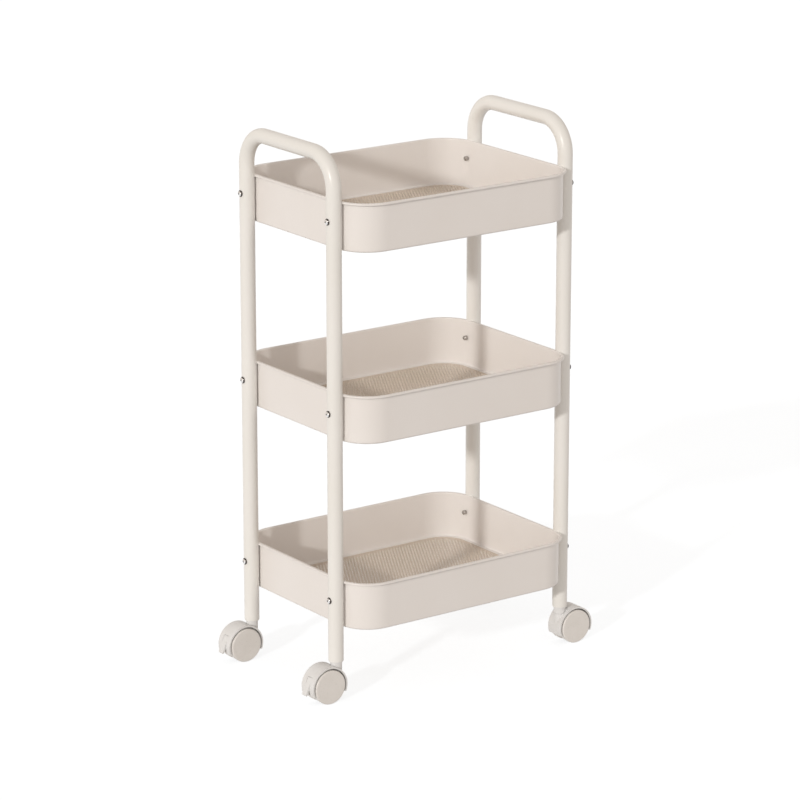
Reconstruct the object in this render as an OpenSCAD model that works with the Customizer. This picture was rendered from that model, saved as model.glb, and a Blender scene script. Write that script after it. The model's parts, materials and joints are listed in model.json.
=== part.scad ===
// Three-tier rolling utility cart: two bent-tube end frames carry three rimmed sheet-metal trays
// with perforated floors, and the cart rolls on four twin-wheel casters.
// Origin: middle of the footprint on the floor. X runs along the trays, -Y is the front, Z is up.

/* [Overall] */
// Height over the handles
cart_h = 760.9; // [700:0.1:820]
// Distance between the left and the right legs' centres
leg_span_x = 384; // [340:1:440]
// Distance between the front and the back legs' centres
leg_span_y = 206; // [180:1:220]

/* [Frame] */
// Outer diameter of the frame tube
tube_d = 21; // [19:0.5:25]
// Wall of the frame tube
tube_wall = 1.2; // [1:0.1:2]
// Bend radius of the handle corners at the tube's centre
bend_r = 45; // [35:1:60]
// Height of the legs' lower ends
leg_end_z = 55.4; // [54:0.1:60]

/* [Trays] */
// Depth of a tray over its rim, front to back
tray_depth = 294.4; // [280:0.2:310]
// Height of a tray
tray_h = 67; // [50:1:80]
// Sheet thickness of a tray
sheet = 1; // [0.8:0.1:1.5]
// Plan radius of the tray corners, at the outside of the wall
tray_corner_r = 46; // [30:1:60]
// How far the rolled rim stands out from the wall
rim_reach = 4.2; // [3:0.1:5]
// Height of the rolled rim
rim_h = 3.4; // [3:0.1:5]
// Outside radius of the fold at the foot of the wall
fold_r = 3; // [2:0.5:5]
// Width of the flange that carries the perforated floor
flange_w = 15; // [12:1:24]
// Distance of the perforated floor's edge from the outside of the wall
floor_inset = 9; // [5:0.5:12]
// Thickness of the perforated floor
floor_t = 1; // [0.8:0.1:1.5]
// Height of the bottom tray's screws
first_screw_z = 142.1; // [130:0.1:180]
// Distance between the trays
tray_pitch = 261.6; // [220:0.1:265]
// Height of a screw above its tray's underside
screw_rise = 41.5; // [30:0.5:50]

/* [Screws] */
// Shank diameter of the tray screws, a little under 4 as on rolled M4 threads
screw_d = 3.86; // [3:0.02:5]
// Head diameter of the tray screws
head_d = 9.2; // [7:0.1:9.5]
// Height of a screw's head
head_h = 3.2; // [2:0.1:4]
// Diameter of the round nuts
nut_d = 6.4; // [5.5:0.1:7.5]
// Length of a nut
nut_h = 5.5; // [2.5:0.1:6.5]

/* [Casters] */
// Wheel diameter
wheel_d = 48; // [46:0.1:49]
// Width of one wheel
wheel_w = 8.9; // [8:0.1:10.5]
// Distance from the middle of a caster to a wheel's inner side
wheel_gap = 6.6; // [6.6:0.1:7.5]
// Distance of the wheels' axle behind the stem
trail = 19; // [18:0.1:20]
// Outside radius of the hood
hood_r = 28.2; // [28:0.1:29]
// Width of the hood
hood_w = 28; // [26:0.5:30]
// Height of the hood's lower edge
hood_cut_z = 13.8; // [12:0.1:16]
// Height of the stem socket's top
socket_z = 44.9; // [43.5:0.1:46]
// Stem diameter
stem_d = 8; // [6:0.5:8]
// Axle diameter
axle_d = 5; // [4:0.5:6]
// Width of a brake lever
lever_w = 9.6; // [8:0.1:9.8]

/* [Hidden] */
$fn = 96;
play = 0.05;                               // radial clearance of a running fit
tube_r = tube_d / 2;
bore_r = tube_r - tube_wall;
leg_x = leg_span_x / 2;
leg_y = leg_span_y / 2;
bar_z = cart_h - tube_r;
wall_gap = 0.1;                            // between a tray's wall and a leg
wall_x = leg_x - tube_r - wall_gap;        // outside of the tray walls
wall_y = tray_depth / 2 - rim_reach;
rim_r = rim_h / 2;
curl_z = tray_h - rim_r;
LEVELS = ["bottom", "middle", "top"];
screw_z = [for (i = [0:2]) first_screw_z + i * tray_pitch];
hole_r = screw_d / 2 + play;
head_flank = 0.8;                          // straight part of a screw head's edge
hex_d = 2.9;                               // hexagon socket across its corners
hex_depth = 1.6;
nut_dome_r = 4.6;
// the wall already curves in at a nut's far edge, so the nut stands off the leg by this
nut_reach = leg_y + nut_d / 2 - wall_y + tray_corner_r;
nut_seat = tube_r + wall_gap + play + tray_corner_r - sqrt(pow(tray_corner_r - sheet, 2) - pow(nut_reach, 2));
wheel_r = wheel_d / 2;
tread_t = 3.5;
wheel_face_t = 3;
wheel_edge_r = 1.8;                        // rounding of a wheel's outer edge
wheel_inner_edge_r = 1.2;
wheel_hub_t = 2.6;
hood_t = 2;
web_w = 5;                                 // the hood's middle web
boss_r = 6.2;                              // stem boss between the wheels
axle_boss_r = 4.6;
boss_foot_z = hood_cut_z + 2;
collar_r = 8.2;
collar_gap = 0.3;                          // under the leg insert's collar
collar_room_r = 8.8;
top_room_r = 11.2;                         // round the collar, at the top of the hood
top_room_z = socket_z + 4.7;
insert_lip_h = 1.2;
insert_depth = 30;
stem_hole_depth = 32;
ring_z = leg_end_z + 14;                   // groove of the stem's grip ring
ring_h = 4;
stem_foot_z = 18;
slot_w = lever_w + 0.8;                    // the lever's slot in the housing
slot_x = 8;
slot_top = 15.9;                            // above the axle, as the lever's heights below
lever_top = 15.2;
lever_r = hood_r - 0.4;                    // outside of the lever where it follows the hood
lever_t = 3;
flare_top = 8.4;
lever_tip = [32.65, -7.1];
tip_r = 1.5;
pivot = [13, 2];
pin_r = 1.5;
pivot_boss_r = 3.2;
cheek_w = 1;                               // the two ears beside the lever
ear_top = 7;
ear_foot = -2;
shoe_rise = 9.2;                           // the brake bar above the pivot
shoe_r = 1.8;
shoe_w = 18;
// name, side along X, side along Y, has a brake
CORNERS = [
    ["front_left", -1, -1, true],
    ["back_left", -1, 1, true],
    ["front_right", 1, -1, false],
    ["back_right", 1, 1, false]
];
SIDES = [["front", -1], ["back", 1]];
BRAKED = [for (c = CORNERS) if (c[3]) c];

CREAM = [0.91, 0.88, 0.84];
CREAM_PLASTIC = [0.87, 0.84, 0.80];
MESH_TONE = [0.80, 0.75, 0.67];
STEEL = [0.72, 0.72, 0.72];

// ---------- helpers ----------

// A flat rounded rectangle, hx and hy being half its sides
module rounded_rect(hx, hy, r) {
    square([2 * (hx - r), 2 * hy], center = true);
    square([2 * hx, 2 * (hy - r)], center = true);
    for (sx = [-1, 1], sy = [-1, 1])
        translate([sx * (hx - r), sy * (hy - r)]) circle(r);
}

// Sweeps a profile round a rounded rectangle: the profile's x is measured outwards from the path
module sweep_round(hx, hy, r) {
    for (q = [0:3]) {
        along = q % 2 == 0 ? hy : hx;
        out = q % 2 == 0 ? hx : hy;
        rotate([0, 0, 90 * q]) {
            translate([out, along - r, 0]) rotate([90, 0, 0])
                linear_extrude(2 * (along - r)) children();
            translate([out - r, along - r, 0])
                rotate_extrude(angle = 90) translate([r, 0]) children();
        }
    }
}

// A cylinder along Y, centred on the origin
module rod_y(r, len) {
    rotate([90, 0, 0]) cylinder(r = r, h = len, center = true);
}

// Copies to the four legs' places, with +X pointing out of the cart
module at_legs() {
    for (c = CORNERS)
        translate([c[1] * leg_x, c[2] * leg_y, 0]) rotate([0, 0, c[1] > 0 ? 0 : 180]) children();
}

// ---------- end frames ----------

// Everything that a tube of radius r along the frame's line fills, in the plane X = 0
module frame_line(r) {
    top = bar_z - bend_r;
    for (s = [-1, 1]) {
        translate([0, s * leg_y, leg_end_z]) cylinder(r = r, h = top - leg_end_z);
        translate([0, s * (leg_y - bend_r), top]) rotate([90, 0, s * 90])
            rotate_extrude(angle = 90) translate([bend_r, 0]) circle(r);
    }
    translate([0, 0, bar_z]) rod_y(r, 2 * (leg_y - bend_r));
}

module end_frame(side) {
    color(CREAM) translate([side * leg_x, 0, 0]) difference() {
        frame_line(tube_r);
        frame_line(bore_r);
        for (s = [-1, 1]) {
            translate([0, s * leg_y, leg_end_z - 1]) cylinder(r = bore_r, h = 2);
            for (z = screw_z)
                translate([0, s * leg_y, z]) rotate([0, 90, 0])
                    cylinder(r = hole_r, h = tube_d + 2, center = true);
        }
    }
}

// ---------- trays ----------

// Section of the tray wall: rolled rim, wall, fold and flange. x = 0 is the wall's outside.
module wall_section() {
    translate([-sheet, fold_r]) square([sheet, curl_z - fold_r]);
    intersection() {
        translate([-fold_r, fold_r]) difference() {
            circle(fold_r);
            circle(fold_r - sheet);
        }
        translate([-fold_r, 0]) square(fold_r);
    }
    translate([-flange_w, 0]) square([flange_w - fold_r, sheet]);
    // the roll stops short of closing on the wall
    difference() {
        flat_roll(rim_r);
        flat_roll(rim_r - sheet);
        translate([0, curl_z - rim_r]) square([rim_r - sheet, rim_r]);
    }
}

// Solid section of the rim's roll, r being half its height
module flat_roll(r) {
    for (x = [rim_r - sheet, rim_reach - rim_r]) translate([x, curl_z]) circle(r);
    translate([rim_r - sheet, curl_z - r]) square([rim_reach + sheet - rim_h, 2 * r]);
}

module tray(z) {
    color(CREAM) translate([0, 0, z - screw_rise]) difference() {
        sweep_round(wall_x, wall_y, tray_corner_r) wall_section();
        at_legs() {
            // screw hole
            translate([-tube_r - 3, 0, screw_rise]) rotate([0, 90, 0]) cylinder(r = hole_r, h = 4);
            // notch in the rim where the leg passes
            translate([0, 0, curl_z - rim_r - 1]) cylinder(r = tube_r + play, h = rim_h + 2);
        }
    }
}

module tray_floor(z) {
    color(MESH_TONE) translate([0, 0, z - screw_rise + sheet]) linear_extrude(floor_t)
        rounded_rect(wall_x - floor_inset, wall_y - floor_inset, tray_corner_r - floor_inset);
}

// ---------- screws and nuts ----------

// Domed head with a hexagon socket, its shank running through the tube to the nut
module tray_screw() {
    shank = tube_r + nut_seat + nut_h - 0.6;
    dome_h = head_h - head_flank;
    dome_r = (head_d * head_d / 4 + dome_h * dome_h) / (2 * dome_h);
    rotate([0, 90, 0]) difference() {
        union() {
            translate([0, 0, tube_r]) intersection() {
                cylinder(d = head_d, h = head_h);
                translate([0, 0, head_h - dome_r]) sphere(dome_r);
            }
            translate([0, 0, tube_r - shank]) cylinder(d = screw_d, h = shank);
        }
        translate([0, 0, tube_r + head_h - hex_depth]) cylinder(d = hex_d, h = 2, $fn = 6);
    }
}

module tray_screws(z) {
    color(STEEL) translate([0, 0, z]) at_legs() tray_screw();
}

// Round nut with a domed end, on the inside of the tray wall
module tray_nut() {
    translate([-nut_seat, 0, 0]) rotate([0, -90, 0]) difference() {
        intersection() {
            cylinder(d = nut_d, h = nut_h);
            translate([0, 0, nut_h - nut_dome_r]) sphere(nut_dome_r);
        }
        translate([0, 0, -1]) cylinder(r = screw_d / 2 + play, h = nut_h + 2);
    }
}

module tray_nuts(z) {
    color(STEEL) translate([0, 0, z]) at_legs() tray_nut();
}

// ---------- casters, built with the stem on the Z axis and the wheels behind it, along +X ----------

// Places a caster at its corner. Left casters trail to the left, right ones to the right.
module at_caster(c) {
    translate([c[1] * leg_x, c[2] * leg_y, 0]) mirror([c[1] > 0 ? 0 : 1, 0, 0]) children();
}

module at_axle() {
    translate([trail, 0, wheel_r]) children();
}

// Plug in the end of the leg, with a collar down to the caster's socket
module leg_insert(c) {
    color(CREAM_PLASTIC) at_caster(c) difference() {
        union() {
            translate([0, 0, leg_end_z]) cylinder(r = bore_r, h = insert_depth);
            translate([0, 0, leg_end_z - insert_lip_h]) cylinder(r = tube_r - 0.8, h = insert_lip_h);
            translate([0, 0, socket_z + collar_gap])
                cylinder(r = collar_r, h = leg_end_z - socket_z - collar_gap);
        }
        translate([0, 0, socket_z]) cylinder(d = stem_d, h = stem_hole_depth);
        translate([0, 0, ring_z]) cylinder(d = stem_d + 1, h = ring_h);
    }
}

// Steel pin: fixed in the leg insert, running in the housing
module caster_stem(c) {
    color(STEEL) at_caster(c) difference() {
        translate([0, 0, stem_foot_z])
            cylinder(d = stem_d, h = socket_z + stem_hole_depth - stem_foot_z - 1);
        translate([0, 0, ring_z]) difference() {
            cylinder(d = stem_d + 1, h = ring_h);
            translate([0, 0, -1]) cylinder(d = stem_d - 1.6, h = ring_h + 2);
        }
    }
}

// Split spring rings that hold the stems in the leg inserts
module stem_grip_rings() {
    color(STEEL) for (c = CORNERS) at_caster(c) translate([0, 0, ring_z + 0.2]) difference() {
        cylinder(d = stem_d + 0.8, h = ring_h - 0.4);
        translate([0, 0, -1]) cylinder(d = stem_d - 1.5, h = ring_h + 2);
        translate([0, -0.6, -1]) cube([stem_d, 1.2, ring_h + 2]);
    }
}

// The housing's own solid before the lever's slot is cut
module housing_body() {
    boss_h = socket_z - boss_foot_z;
    difference() {
        union() {
            at_axle() rod_y(hood_r, hood_w);
            translate([0, 0, boss_foot_z]) cylinder(r = collar_r, h = boss_h);
        }
        // the two wheel spaces, either side of the middle web
        for (s = [-1, 1])
            at_axle() translate([0, s * (web_w + hood_w + 4) / 2, 0]) rod_y(hood_r - hood_t, hood_w + 4);
        // everything under the lower edge
        translate([-2 * hood_r, -hood_w, -hood_r]) cube([5 * hood_r, 2 * hood_w, hood_r + hood_cut_z]);
        // room round the collar above the socket
        translate([0, 0, socket_z]) cylinder(r = collar_room_r, h = hood_r);
        translate([0, 0, top_room_z]) cylinder(r = top_room_r, h = hood_r);
    }
    translate([0, 0, boss_foot_z]) cylinder(r = boss_r, h = boss_h);
    at_axle() rod_y(axle_boss_r, 2 * wheel_gap - 0.4);
}

module caster_housing(c) {
    color(CREAM_PLASTIC) at_caster(c) difference() {
        union() {
            difference() {
                housing_body();
                if (c[3]) at_axle() translate([slot_x, -slot_w / 2, -hood_r])
                    cube([hood_r, slot_w, hood_r + slot_top]);
            }
            if (c[3]) brake_ears();
        }
        translate([0, 0, stem_foot_z - 0.3]) cylinder(r = stem_d / 2 + play, h = socket_z);
        at_axle() rod_y(axle_d / 2, hood_w);
        if (c[3]) at_axle() translate([pivot[0], 0, pivot[1]]) rod_y(pin_r, slot_w + 4);
    }
}

// Two thin ears that carry the brake pin
module brake_ears() {
    for (s = [-1, 1])
        at_axle() translate([0, s * (slot_w + cheek_w) / 2, 0]) intersection() {
            rod_y(hood_r - 1, cheek_w);
            translate([slot_x - 2, -1, ear_foot]) cube([hood_r, 2, ear_top - ear_foot]);
        }
}

module caster_axle(c) {
    color(STEEL) at_caster(c) at_axle()
        rod_y(axle_d / 2, 2 * (wheel_gap + wheel_w) - 5);
}

// One wheel: hub, a closed disc face and a tread rim. x is the radius, y runs outwards.
module wheel_section() {
    tread_r = wheel_r - tread_t;
    translate([axle_d / 2 + play, 0.2]) square([wheel_hub_t, wheel_w - 1.8]);
    translate([0, wheel_w - wheel_face_t]) square([wheel_r - wheel_edge_r, wheel_face_t]);
    translate([tread_r, wheel_inner_edge_r])
        square([tread_t, wheel_w - wheel_edge_r - wheel_inner_edge_r]);
    translate([tread_r, 0]) square([tread_t - wheel_inner_edge_r, wheel_w - wheel_edge_r]);
    translate([wheel_r - wheel_inner_edge_r, wheel_inner_edge_r]) circle(wheel_inner_edge_r);
    translate([wheel_r - wheel_edge_r, wheel_w - wheel_edge_r]) circle(wheel_edge_r);
}

module caster_wheel(c, side) {
    color(CREAM_PLASTIC) at_caster(c) at_axle() translate([0, side * wheel_gap, 0])
        rotate([side > 0 ? -90 : 90, 0, 0]) difference() {
            rotate_extrude() wheel_section();
            translate([0, 0, -1]) cylinder(r = axle_d / 2 + play, h = wheel_w - 0.4);
        }
}

// Plate of the brake lever, seen from the side: it leaves the hood and ends in a rounded tip
module lever_plate() {
    polygon([[26.1, 9.6], [34, -6.45], [31.3, -7.75], [23.9, 7.5], [23.9, 9.6]]);
    translate(lever_tip) circle(tip_r);
}

// Brake lever: a shell that closes the slot in the hood, its flared plate, and a bar for the wheels
module brake_lever(c) {
    color(CREAM_PLASTIC) at_caster(c) at_axle() difference() {
        union() {
            intersection() {
                difference() {
                    rod_y(lever_r, lever_w);
                    rod_y(lever_r - lever_t, lever_w + 2);
                }
                translate([slot_x, -lever_w / 2, flare_top])
                    cube([hood_r, lever_w, lever_top - flare_top]);
            }
            rotate([90, 0, 0]) linear_extrude(lever_w, center = true) lever_plate();
            translate([pivot[0], 0, pivot[1]]) {
                rod_y(pivot_boss_r, lever_w);
                translate([0, -lever_w / 2, -2]) cube([lever_r - pivot[0] - 1, lever_w, 4]);
                translate([-1.4, -lever_w / 2, 0]) cube([2.8, lever_w, shoe_rise]);
                translate([0, 0, shoe_rise]) rod_y(shoe_r, shoe_w);
            }
        }
        translate([pivot[0], 0, pivot[1]]) rod_y(pin_r + play, lever_w + 2);
    }
}

module brake_pin(c) {
    color(STEEL) at_caster(c) at_axle() translate([pivot[0], 0, pivot[1]])
        rod_y(pin_r, slot_w + 2 * cheek_w);
}

// ---------- the cart ----------

end_frame(-1);  // left_frame
end_frame(1);  // right_frame
for (i = [0:2]) {
    tray(screw_z[i]);
    tray_floor(screw_z[i]);
    tray_screws(screw_z[i]);
    tray_nuts(screw_z[i]);
}
stem_grip_rings();
for (c = CORNERS) {
    leg_insert(c);
    caster_stem(c);
    caster_housing(c);
    caster_axle(c);
    for (s = SIDES)
        caster_wheel(c, s[1]);
}
for (c = BRAKED) {
    brake_lever(c);
    brake_pin(c);
}
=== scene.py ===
"""Looks for the three-tier rolling cart: perforated floors, paint, plastic, steel, light and camera."""

import json
import math

import bpy
import numpy as np
from mathutils import Matrix, Vector
from mathutils.geometry import delaunay_2d_cdt


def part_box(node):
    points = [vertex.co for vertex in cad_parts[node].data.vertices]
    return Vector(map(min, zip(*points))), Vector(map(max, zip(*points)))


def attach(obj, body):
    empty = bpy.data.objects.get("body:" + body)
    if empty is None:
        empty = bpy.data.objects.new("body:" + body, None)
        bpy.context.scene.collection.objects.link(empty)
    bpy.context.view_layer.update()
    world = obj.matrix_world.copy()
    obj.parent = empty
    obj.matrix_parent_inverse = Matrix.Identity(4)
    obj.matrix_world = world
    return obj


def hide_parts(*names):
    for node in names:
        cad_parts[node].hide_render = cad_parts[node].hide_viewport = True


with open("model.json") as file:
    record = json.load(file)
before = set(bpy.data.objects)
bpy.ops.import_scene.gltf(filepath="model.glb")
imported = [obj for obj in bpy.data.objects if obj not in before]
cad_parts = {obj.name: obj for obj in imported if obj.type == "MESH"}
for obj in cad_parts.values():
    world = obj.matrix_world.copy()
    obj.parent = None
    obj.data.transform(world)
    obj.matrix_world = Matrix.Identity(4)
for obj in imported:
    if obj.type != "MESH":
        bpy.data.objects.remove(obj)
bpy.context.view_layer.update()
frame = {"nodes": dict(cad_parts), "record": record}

# ---------- driving values, in metres and degrees ----------

VIEW_AZIMUTH = -35.7           # the camera stands to the left of the front
VIEW_ELEVATION = 16.08
VIEW_DISTANCE = 5.206
VIEW_TARGET = Vector((0.049, 0.084, 0.3373))
LENS = 166.3

HOLE_PITCH = 0.0049            # perforated tray floors: staggered round holes
HOLE_RADIUS = 0.0016
HOLE_SIDES = 8
ROW_STEP = HOLE_PITCH * math.sqrt(3) / 2
CELL_CORNER = HOLE_PITCH / math.sqrt(3)     # radius of a hole's hexagonal cell
PLAIN_MARGIN = 0.002           # unpunched strip round a tray floor
SHEET = 0.0008
SHEET_CORNER = 0.037           # plan radius of a tray floor's corners

LIGHT_TINT = (1, 0.916, 0.841)
KEY_TINT = (1, 0.975, 0.94)
# places between nadir (0) and zenith (1), each with its brightness
DOME = ((0.42, 0.42), (0.56, 0.865), (0.70, 0.865), (0.97, 0.33))
KEY_ENERGY = 1.26
KEY_TRAVEL = Vector((0.865, 0.40, -0.32))   # the way that the key light shines
KEY_ANGLE = 3.2
STAGE_TONES = (0.42, 0.456, 0.494), (0.40, 0.434, 0.47)
STAGE_GLOW = 0.74

SCREW_Y = 0.103                # places of the screws' axes
SCREW_Z = 0.1421
TRAY_PITCH = 0.2616
SOCKET_SHADE_TO_HIGHLIGHT = (0.0008, 0.0011)    # radii where the painted shade in a head's socket gives way to its painted highlight ring
HIGHLIGHT_TO_EDGE_SHADE = (0.0034, 0.0039)   # and the highlight ring to the painted shade at its edge
NUT_END = (0.181, 0.186)       # distances from the middle where the nuts give way to the heads

LEVELS = ("bottom", "middle", "top")


# ---------- materials ----------

class Shader:
    """A Principled material whose nodes are added one after another."""

    def __init__(self, name, **sockets):
        self.material = bpy.data.materials.new(name)
        self.material.use_nodes = True
        self.tree = self.material.node_tree
        self.main = self.tree.nodes["Principled BSDF"]
        for key, value in sockets.items():
            self.main.inputs[key.replace("_", " ")].default_value = value
        self.place = self.add("ShaderNodeTexCoord").outputs["Object"]

    def add(self, kind, **values):
        node = self.tree.nodes.new(kind)
        for key, value in values.items():
            if key in node.inputs:
                node.inputs[key].default_value = value
            else:
                setattr(node, key, value)
        return node

    def link(self, a, b):
        self.tree.links.new(a, b)

    def noise(self, scale, detail=2.0, rough=0.5):
        node = self.add("ShaderNodeTexNoise")
        node.inputs["Scale"].default_value = scale
        node.inputs["Detail"].default_value = detail
        node.inputs["Roughness"].default_value = rough
        self.link(self.place, node.inputs["Vector"])
        return node.outputs["Fac"]

    def remap(self, value, low, high, from_low=0.3, from_high=0.7):
        node = self.add("ShaderNodeMapRange")
        self.link(value, node.inputs["Value"])
        node.inputs["From Min"].default_value = from_low
        node.inputs["From Max"].default_value = from_high
        node.inputs["To Min"].default_value = low
        node.inputs["To Max"].default_value = high
        return node.outputs["Result"]

    def maths(self, operation, *values):
        node = self.add("ShaderNodeMath", operation=operation)
        for slot, value in enumerate(values):
            if isinstance(value, (int, float)):
                node.inputs[slot].default_value = value
            else:
                self.link(value, node.inputs[slot])
        return node.outputs[0]

    def mix(self, factor, first, second):
        node = self.add("ShaderNodeMix", data_type="RGBA")
        for slot, value in ((6, first), (7, second)):
            if isinstance(value, tuple):
                node.inputs[slot].default_value = (*value, 1)
            else:
                self.link(value, node.inputs[slot])
        self.link(factor, node.inputs[0])
        return node.outputs[2]

    def colour(self, value):
        self.link(value, self.main.inputs["Base Color"])

    def roughness(self, value):
        self.link(value, self.main.inputs["Roughness"])

    def bump(self, height, distance, strength=1.0):
        node = self.add("ShaderNodeBump")
        node.inputs["Distance"].default_value = distance
        node.inputs["Strength"].default_value = strength
        self.link(height, node.inputs["Height"])
        self.link(node.outputs["Normal"], self.main.inputs["Normal"])


def linear(r, g, b):
    """An sRGB colour given in 0 to 255, as the linear colour that shaders take."""
    def one(v):
        v /= 255
        return v / 12.92 if v <= 0.04045 else ((v + 0.055) / 1.055) ** 2.4
    return (one(r), one(g), one(b))


def powder_coat(name, tone, shade, peel=0.00003):
    """Baked powder paint: faint mottling, orange peel and a soft gloss that varies a little."""
    s = Shader(name, Specular_IOR_Level=0.5, IOR=1.5)
    broad = s.remap(s.noise(9, 3), 0, 1)
    grain = s.remap(s.noise(700, 2), 0, 0.35)
    s.colour(s.mix(grain, s.mix(broad, tone, shade), shade))
    s.roughness(s.remap(s.noise(40, 4), 0.28, 0.36))
    s.bump(s.noise(650, 3, 0.6), peel)
    return s.material


def moulded_plastic(name, tone, shade, rough=(0.42, 0.56)):
    """Spark-eroded moulded plastic: fine grain and slight flow marks."""
    s = Shader(name, Specular_IOR_Level=0.5, IOR=1.46)
    flow = s.remap(s.noise(60, 3), 0, 1)
    s.colour(s.mix(flow, tone, shade))
    s.roughness(s.remap(s.noise(300, 3), *rough))
    s.bump(s.noise(2200, 2, 0.7), 0.00002)
    return s.material


def bright_steel():
    """Zinc-plated steel: heads painted with a highlight ring, painted shade at the edge and in the socket,
    and dull grey nuts.
    """
    s = Shader("bright_steel", Metallic=1.0)
    split = s.add("ShaderNodeSeparateXYZ")
    s.link(s.place, split.inputs["Vector"])
    # distance from the nearest screw's axis
    aside = s.maths("SUBTRACT", s.maths("ABSOLUTE", split.outputs["Y"]), SCREW_Y)
    level = s.maths("MODULO", s.maths("SUBTRACT", split.outputs["Z"], SCREW_Z - TRAY_PITCH / 2), TRAY_PITCH)
    above = s.maths("SUBTRACT", level, TRAY_PITCH / 2)
    squares = s.maths("ADD", s.maths("MULTIPLY", aside, aside), s.maths("MULTIPLY", above, above))
    off_axis = s.maths("SQRT", squares)
    dull = s.remap(s.noise(500, 4), 0, 1)
    painted_highlight = s.mix(dull, (0.85, 0.84, 0.83), (0.70, 0.69, 0.68))
    # the ring round each screw's axis is a painted highlight; inside and outside it the head is painted
    # dark as shade
    highlight_mask = s.maths("MULTIPLY", s.remap(off_axis, 0, 1, *SOCKET_SHADE_TO_HIGHLIGHT), s.remap(off_axis, 1, 0, *HIGHLIGHT_TO_EDGE_SHADE))
    head_highlight_and_shade = s.mix(highlight_mask, (0.07, 0.06, 0.055), painted_highlight)
    nut = s.mix(dull, (0.50, 0.48, 0.46), (0.40, 0.38, 0.36))
    outward = s.maths("ABSOLUTE", split.outputs["X"])
    s.colour(s.mix(s.remap(outward, 0, 1, *NUT_END), nut, head_highlight_and_shade))
    s.roughness(s.remap(s.noise(900, 3), 0.16, 0.34))
    s.bump(s.noise(3000, 2), 0.00001)
    return s.material


CREAM = linear(240, 237, 235)
CREAM_SHADE = linear(237, 233, 230)
TUBE = linear(241, 240, 238)
TUBE_SHADE = linear(238, 237, 233)
# the perforated sheets' tan tone, darker than the cream walls, is partly painted shade of the hole walls
# seen at a grazing angle
MESH = linear(217, 204, 191)
MESH_DARKER_WITH_HOLE_SHADE = linear(209, 196, 181)
PLASTIC = linear(234, 235, 236)
PLASTIC_SHADE = linear(229, 229, 229)
WHEEL = linear(235, 232, 229)
WHEEL_SHADE = linear(230, 227, 223)

MATERIALS = {
    "powder_coat": powder_coat("powder_coat", CREAM, CREAM_SHADE),
    "perforated_coat": powder_coat("perforated_coat", MESH, MESH_DARKER_WITH_HOLE_SHADE, 0.00002),
    "bright_steel": bright_steel(),
    "insert_plastic": moulded_plastic("insert_plastic", PLASTIC, PLASTIC_SHADE),
    "caster_plastic": moulded_plastic("caster_plastic", PLASTIC, PLASTIC_SHADE),
    "wheel_plastic": moulded_plastic("wheel_plastic", WHEEL, WHEEL_SHADE, (0.26, 0.36)),
}


def dress_cad():
    """Gives every CAD node the material of its slot in the record, the tubes from a cooler batch."""
    tube_coat = powder_coat("tube_coat", TUBE, TUBE_SHADE)
    for part in frame["record"]["subparts"]:
        data = frame["nodes"][part["node"]].data
        data.materials.clear()
        coat = MATERIALS[part["material_slot"]]
        data.materials.append(tube_coat if part["node"].endswith("_frame") else coat)


# ---------- perforated tray floors ----------

def rounded_outline(half_x, half_y, corner, steps=12):
    """Points round a rounded rectangle, anticlockwise."""
    points = []
    for k, (sx, sy) in enumerate(((1, 1), (-1, 1), (-1, -1), (1, -1))):
        for i in range(steps + 1):
            a = math.radians(90 * (k + i / steps))
            points.append((sx * (half_x - corner) + corner * math.cos(a),
                           sy * (half_y - corner) + corner * math.sin(a)))
    return points


def in_rounded(x, y, half_x, half_y, corner):
    """True if a point lies in a rounded rectangle."""
    dx, dy = abs(x) - (half_x - corner), abs(y) - (half_y - corner)
    if dx <= 0 or dy <= 0:
        return abs(x) <= half_x and abs(y) <= half_y
    return math.hypot(dx, dy) <= corner


def hole_cells(half_x, half_y, corner):
    """Lattice places of the holes that keep clear of the floor's plain margin."""
    keep = PLAIN_MARGIN + CELL_CORNER
    cells = []
    rows = int(half_y / ROW_STEP)
    columns = int(half_x / HOLE_PITCH) + 1
    for j in range(-rows, rows + 1):
        for i in range(-columns, columns + 1):
            x, y = (i + 0.5 * (j % 2)) * HOLE_PITCH, j * ROW_STEP
            if in_rounded(x, y, half_x - keep, half_y - keep, corner - keep):
                cells.append((x, y))
    return cells


def cell_ring():
    """Corners of one hexagonal cell with its hole, and the triangles between them."""
    hexagon = [(30 + 60 * k, CELL_CORNER) for k in range(6)]
    hole = [(360 * (k + 0.5) / HOLE_SIDES, HOLE_RADIUS) for k in range(HOLE_SIDES)]
    corners = [(r * math.cos(math.radians(a)), r * math.sin(math.radians(a))) for a, r in hexagon + hole]
    triangles, h, c = [], 0, 0
    while h < 6 or c < HOLE_SIDES:
        next_h = hexagon[h % 6][0] + 360 * (h // 6) + 60 if h < 6 else 1e9
        next_c = hole[c % HOLE_SIDES][0] + 360 / HOLE_SIDES if c < HOLE_SIDES else 1e9
        if next_h <= next_c:
            triangles.append((h % 6, (h + 1) % 6, 6 + c % HOLE_SIDES))
            h += 1
        else:
            triangles.append((h % 6, 6 + (c + 1) % HOLE_SIDES, 6 + c % HOLE_SIDES))
            c += 1
    return corners, triangles


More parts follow.
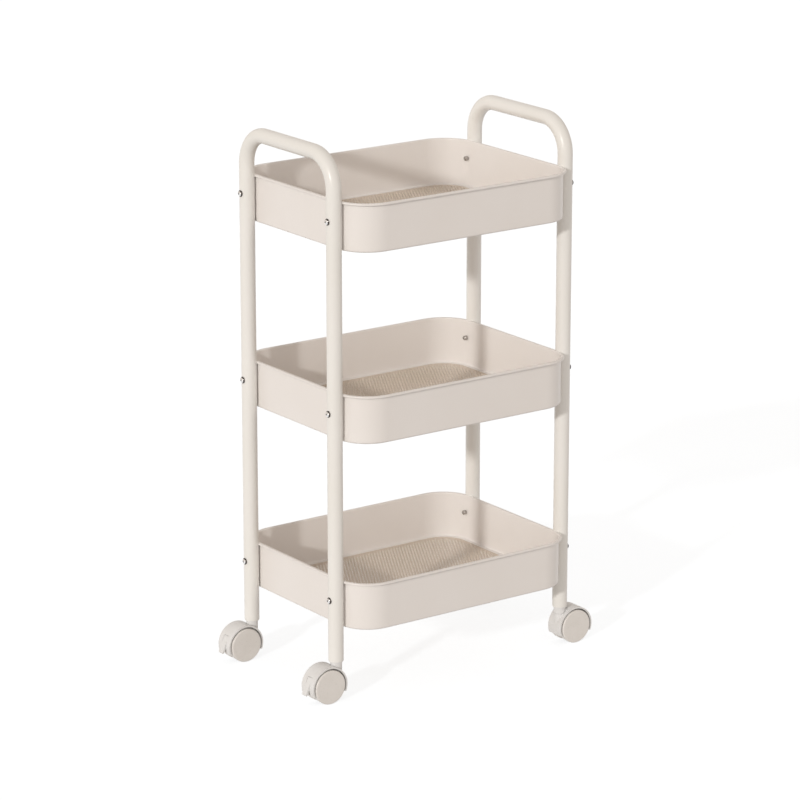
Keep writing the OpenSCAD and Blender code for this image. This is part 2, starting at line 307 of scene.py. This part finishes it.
def perforated_plan(half_x, half_y, corner):
    """Points and triangles of a perforated sheet, seen from above."""
    points, index = [], {}

    def point(x, y):
        key = (round(x * 1e7), round(y * 1e7))
        if key not in index:
            index[key] = len(points)
            points.append((x, y))
        return index[key]

    corners, pattern = cell_ring()
    triangles, border = [], {}
    cells = hole_cells(half_x, half_y, corner)
    for x, y in cells:
        ids = [point(x + cx, y + cy) for cx, cy in corners]
        triangles += [tuple(ids[i] for i in t) for t in pattern]
        for k in range(6):
            a, b = ids[k], ids[(k + 1) % 6]
            if (b, a) in border:
                del border[(b, a)]
            else:
                border[(a, b)] = True
    # the plain strip between the outermost cells and the edge
    outline = [point(x, y) for x, y in rounded_outline(half_x, half_y, corner)]
    edges = list(border) + list(zip(outline, outline[1:] + outline[:1]))
    used = sorted({i for e in edges for i in e})
    local = {v: k for k, v in enumerate(used)}
    found = delaunay_2d_cdt([Vector(points[i]) for i in used],
                            [(local[a], local[b]) for a, b in edges if a != b], [], 0, 1e-9)
    place = [point(v.x, v.y) for v in found[0]]
    filled = {(round(x * 1e5), round(y * 1e5)) for x, y in cells}
    for face in found[2]:
        x = sum(found[0][i].x for i in face) / 3
        y = sum(found[0][i].y for i in face) / 3
        inside_cell = False
        for j in (math.floor(y / ROW_STEP), math.floor(y / ROW_STEP) + 1):
            shift = 0.5 * (j % 2)
            i = round(x / HOLE_PITCH - shift)
            cx, cy = (i + shift) * HOLE_PITCH, j * ROW_STEP
            if (round(cx * 1e5), round(cy * 1e5)) in filled and in_hexagon(x - cx, y - cy):
                inside_cell = True
        if not inside_cell and in_rounded(x, y, half_x, half_y, corner):
            triangles.append(tuple(place[i] for i in face))
    return np.array(points), triangles


def in_hexagon(dx, dy):
    """True if an offset from a cell's middle is inside that cell."""
    half = HOLE_PITCH / 2 * (1 + 1e-6)
    return all(abs(dx * math.cos(a) + dy * math.sin(a)) <= half for a in (0, math.pi / 3, 2 * math.pi / 3))


def solid_sheet(name, points, triangles, thickness):
    """A closed mesh: the plan at z = 0 and z = thickness, with walls along every open edge."""
    count = len(points)
    low = np.column_stack([points, np.zeros(count)])
    high = np.column_stack([points, np.full(count, thickness)])
    single = {}
    for t in triangles:
        for a, b in ((t[0], t[1]), (t[1], t[2]), (t[2], t[0])):
            if (b, a) in single:
                del single[(b, a)]
            else:
                single[(a, b)] = True
    faces = [tuple(i + count for i in t) for t in triangles]
    faces += [tuple(reversed(t)) for t in triangles]
    faces += [(a, b, b + count, a + count) for a, b in single]
    mesh = bpy.data.meshes.new(name)
    mesh.from_pydata(np.vstack([low, high]).tolist(), [], faces)
    mesh.update()
    return mesh


def tray_floors():
    """One perforated sheet in each tray, in place of its plain CAD plate."""
    low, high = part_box("bottom_tray_floor")
    half_x, half_y = (high.x - low.x) / 2, (high.y - low.y) / 2
    plan = perforated_plan(half_x, half_y, SHEET_CORNER)
    mesh = solid_sheet("perforated_sheet", *plan, SHEET)
    mesh.materials.append(MATERIALS["perforated_coat"])
    for level in LEVELS:
        node = f"{level}_tray_floor"
        data = mesh.copy()
        data.transform(Matrix.Translation((0, 0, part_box(node)[0].z)))
        piece = bpy.data.objects.new(f"{level}_perforated_floor", data)
        bpy.context.scene.collection.objects.link(piece)
        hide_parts(node)
        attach(piece, "cart")


# ---------- stage ----------

def stage():
    """A pale floor that runs far past the view and glows a little, out of reach of diffuse rays."""
    s = Shader("floor_white", Roughness=0.9, Specular_IOR_Level=0.2)
    s.colour(s.mix(s.remap(s.noise(3, 2), 0, 1), *STAGE_TONES))
    s.main.inputs["Emission Color"].default_value = (1, 1, 1, 1)
    s.main.inputs["Emission Strength"].default_value = STAGE_GLOW
    bpy.ops.mesh.primitive_plane_add(size=60, location=(0, 0, 0))
    floor = bpy.context.object
    floor.name = "studio_floor"
    floor.visible_diffuse = False
    floor.data.materials.append(s.material)


def light():
    """A low key light from the front left, and a soft dome that is brightest just above the horizon."""
    world = bpy.data.worlds.new("surround")
    bpy.context.scene.world = world
    world.use_nodes = True
    tree = world.node_tree
    dome = tree.nodes["Background"]
    dome.inputs["Color"].default_value = (*LIGHT_TINT, 1)
    direction = tree.nodes.new("ShaderNodeTexCoord")
    split = tree.nodes.new("ShaderNodeSeparateXYZ")
    height = tree.nodes.new("ShaderNodeMapRange")
    height.inputs["From Min"].default_value = -1
    fade = tree.nodes.new("ShaderNodeValToRGB")
    while len(fade.color_ramp.elements) < len(DOME):
        fade.color_ramp.elements.new(0.5)
    for stop, (place, value) in zip(fade.color_ramp.elements, DOME):
        stop.position = place
        stop.color = (value, value, value, 1)
    tree.links.new(direction.outputs["Generated"], split.inputs["Vector"])
    tree.links.new(split.outputs["Z"], height.inputs["Value"])
    tree.links.new(height.outputs["Result"], fade.inputs["Fac"])
    tree.links.new(fade.outputs["Color"], dome.inputs["Strength"])
    key = bpy.data.lights.new("key", "SUN")
    key.energy = KEY_ENERGY
    key.color = KEY_TINT
    key.angle = math.radians(KEY_ANGLE)
    lamp = bpy.data.objects.new("key", key)
    lamp.rotation_mode = "QUATERNION"
    lamp.rotation_quaternion = KEY_TRAVEL.to_track_quat("-Z", "Y")
    bpy.context.scene.collection.objects.link(lamp)


def camera():
    """The camera at the reference view."""
    a, e = math.radians(VIEW_AZIMUTH), math.radians(VIEW_ELEVATION)
    back = Vector((math.sin(a) * math.cos(e), -math.cos(a) * math.cos(e), math.sin(e)))
    data = bpy.data.cameras.new("camera")
    data.lens = LENS
    data.clip_end = 100
    cam = bpy.data.objects.new("camera", data)
    cam.location = VIEW_TARGET + back * VIEW_DISTANCE
    cam.rotation_mode = "QUATERNION"
    cam.rotation_quaternion = (-back).to_track_quat("-Z", "Y")
    bpy.context.scene.collection.objects.link(cam)
    bpy.context.scene.camera = cam
    bpy.context.scene.view_settings.view_transform = "Standard"


camera()
dress_cad()
tray_floors()
stage()
light()
